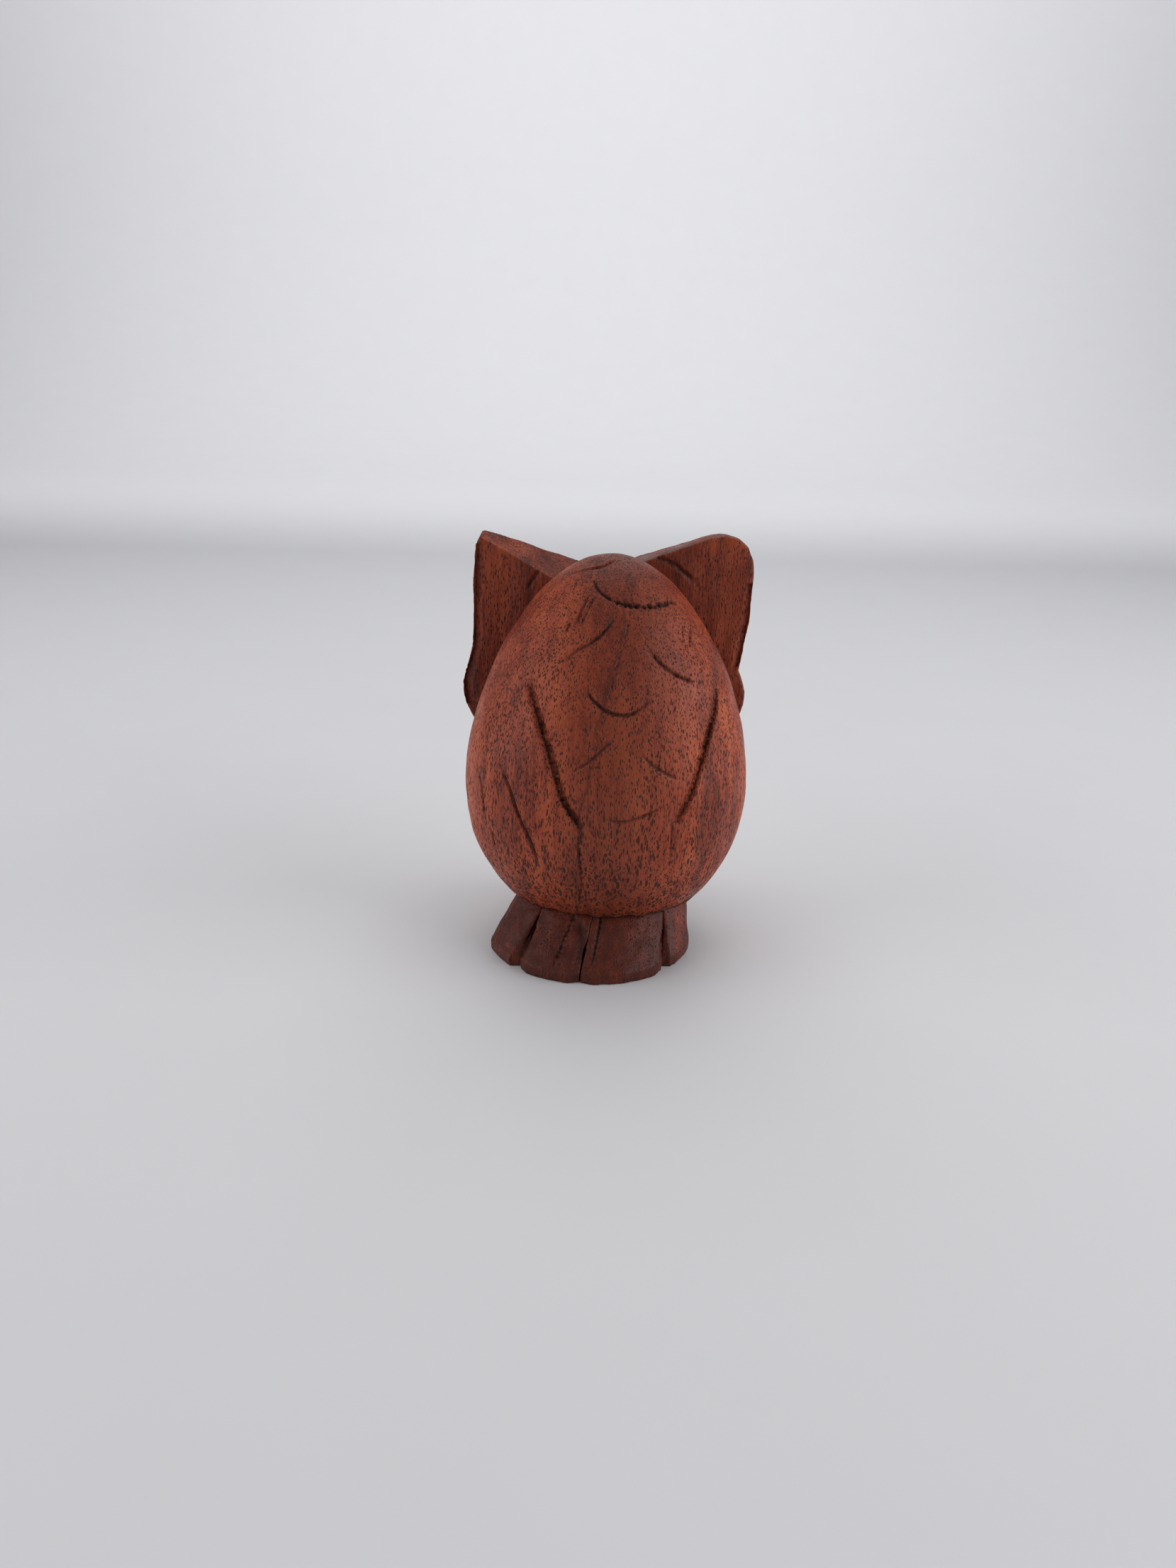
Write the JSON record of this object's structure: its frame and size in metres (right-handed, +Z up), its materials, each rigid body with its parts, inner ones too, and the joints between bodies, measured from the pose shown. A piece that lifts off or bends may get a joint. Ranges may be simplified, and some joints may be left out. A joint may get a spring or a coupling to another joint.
{
  "type": "carved wooden owl figurine",
  "caption": "Small carved hardwood owl that stands on its fan tail, plinth and feet, with an egg-shaped body, flared ears and round eyes.",
  "frame": {"origin": "middle of the footprint, on the surface the owl stands on", "axes": "+Z up, the owl faces -Y, its own left is +X"},
  "size_m": [0.0418, 0.0355, 0.0596],
  "materials": {
    "wood_body": "satin, waxed red-brown hardwood with open dark pores",
    "wood_face": "satin, waxed red-brown hardwood",
    "wood_ear": "satin, waxed, darker in the cut behind the ear",
    "wood_eye": "satin, waxed, paler turned wood",
    "wood_tail": "satin, dark stained",
    "wood_dark": "satin, dark stained",
    "bead": "gloss black bead"
  },
  "bodies": {
    "root": {"body": "wood_body", "wing_left": "wood_body", "wing_right": "wood_body", "face_disc": "wood_face", "ear_left": "wood_ear", "ear_right": "wood_ear", "beak": "wood_dark", "eye_left": "wood_eye", "eye_right": "wood_eye", "pupil_left": "bead", "pupil_right": "bead", "tail_outer_left": "wood_tail", "tail_inner_left": "wood_tail", "tail_inner_right": "wood_tail", "tail_outer_right": "wood_tail", "foot_left": "wood_dark", "foot_right": "wood_dark", "plinth": "wood_dark"}
  },
  "joints": []
}
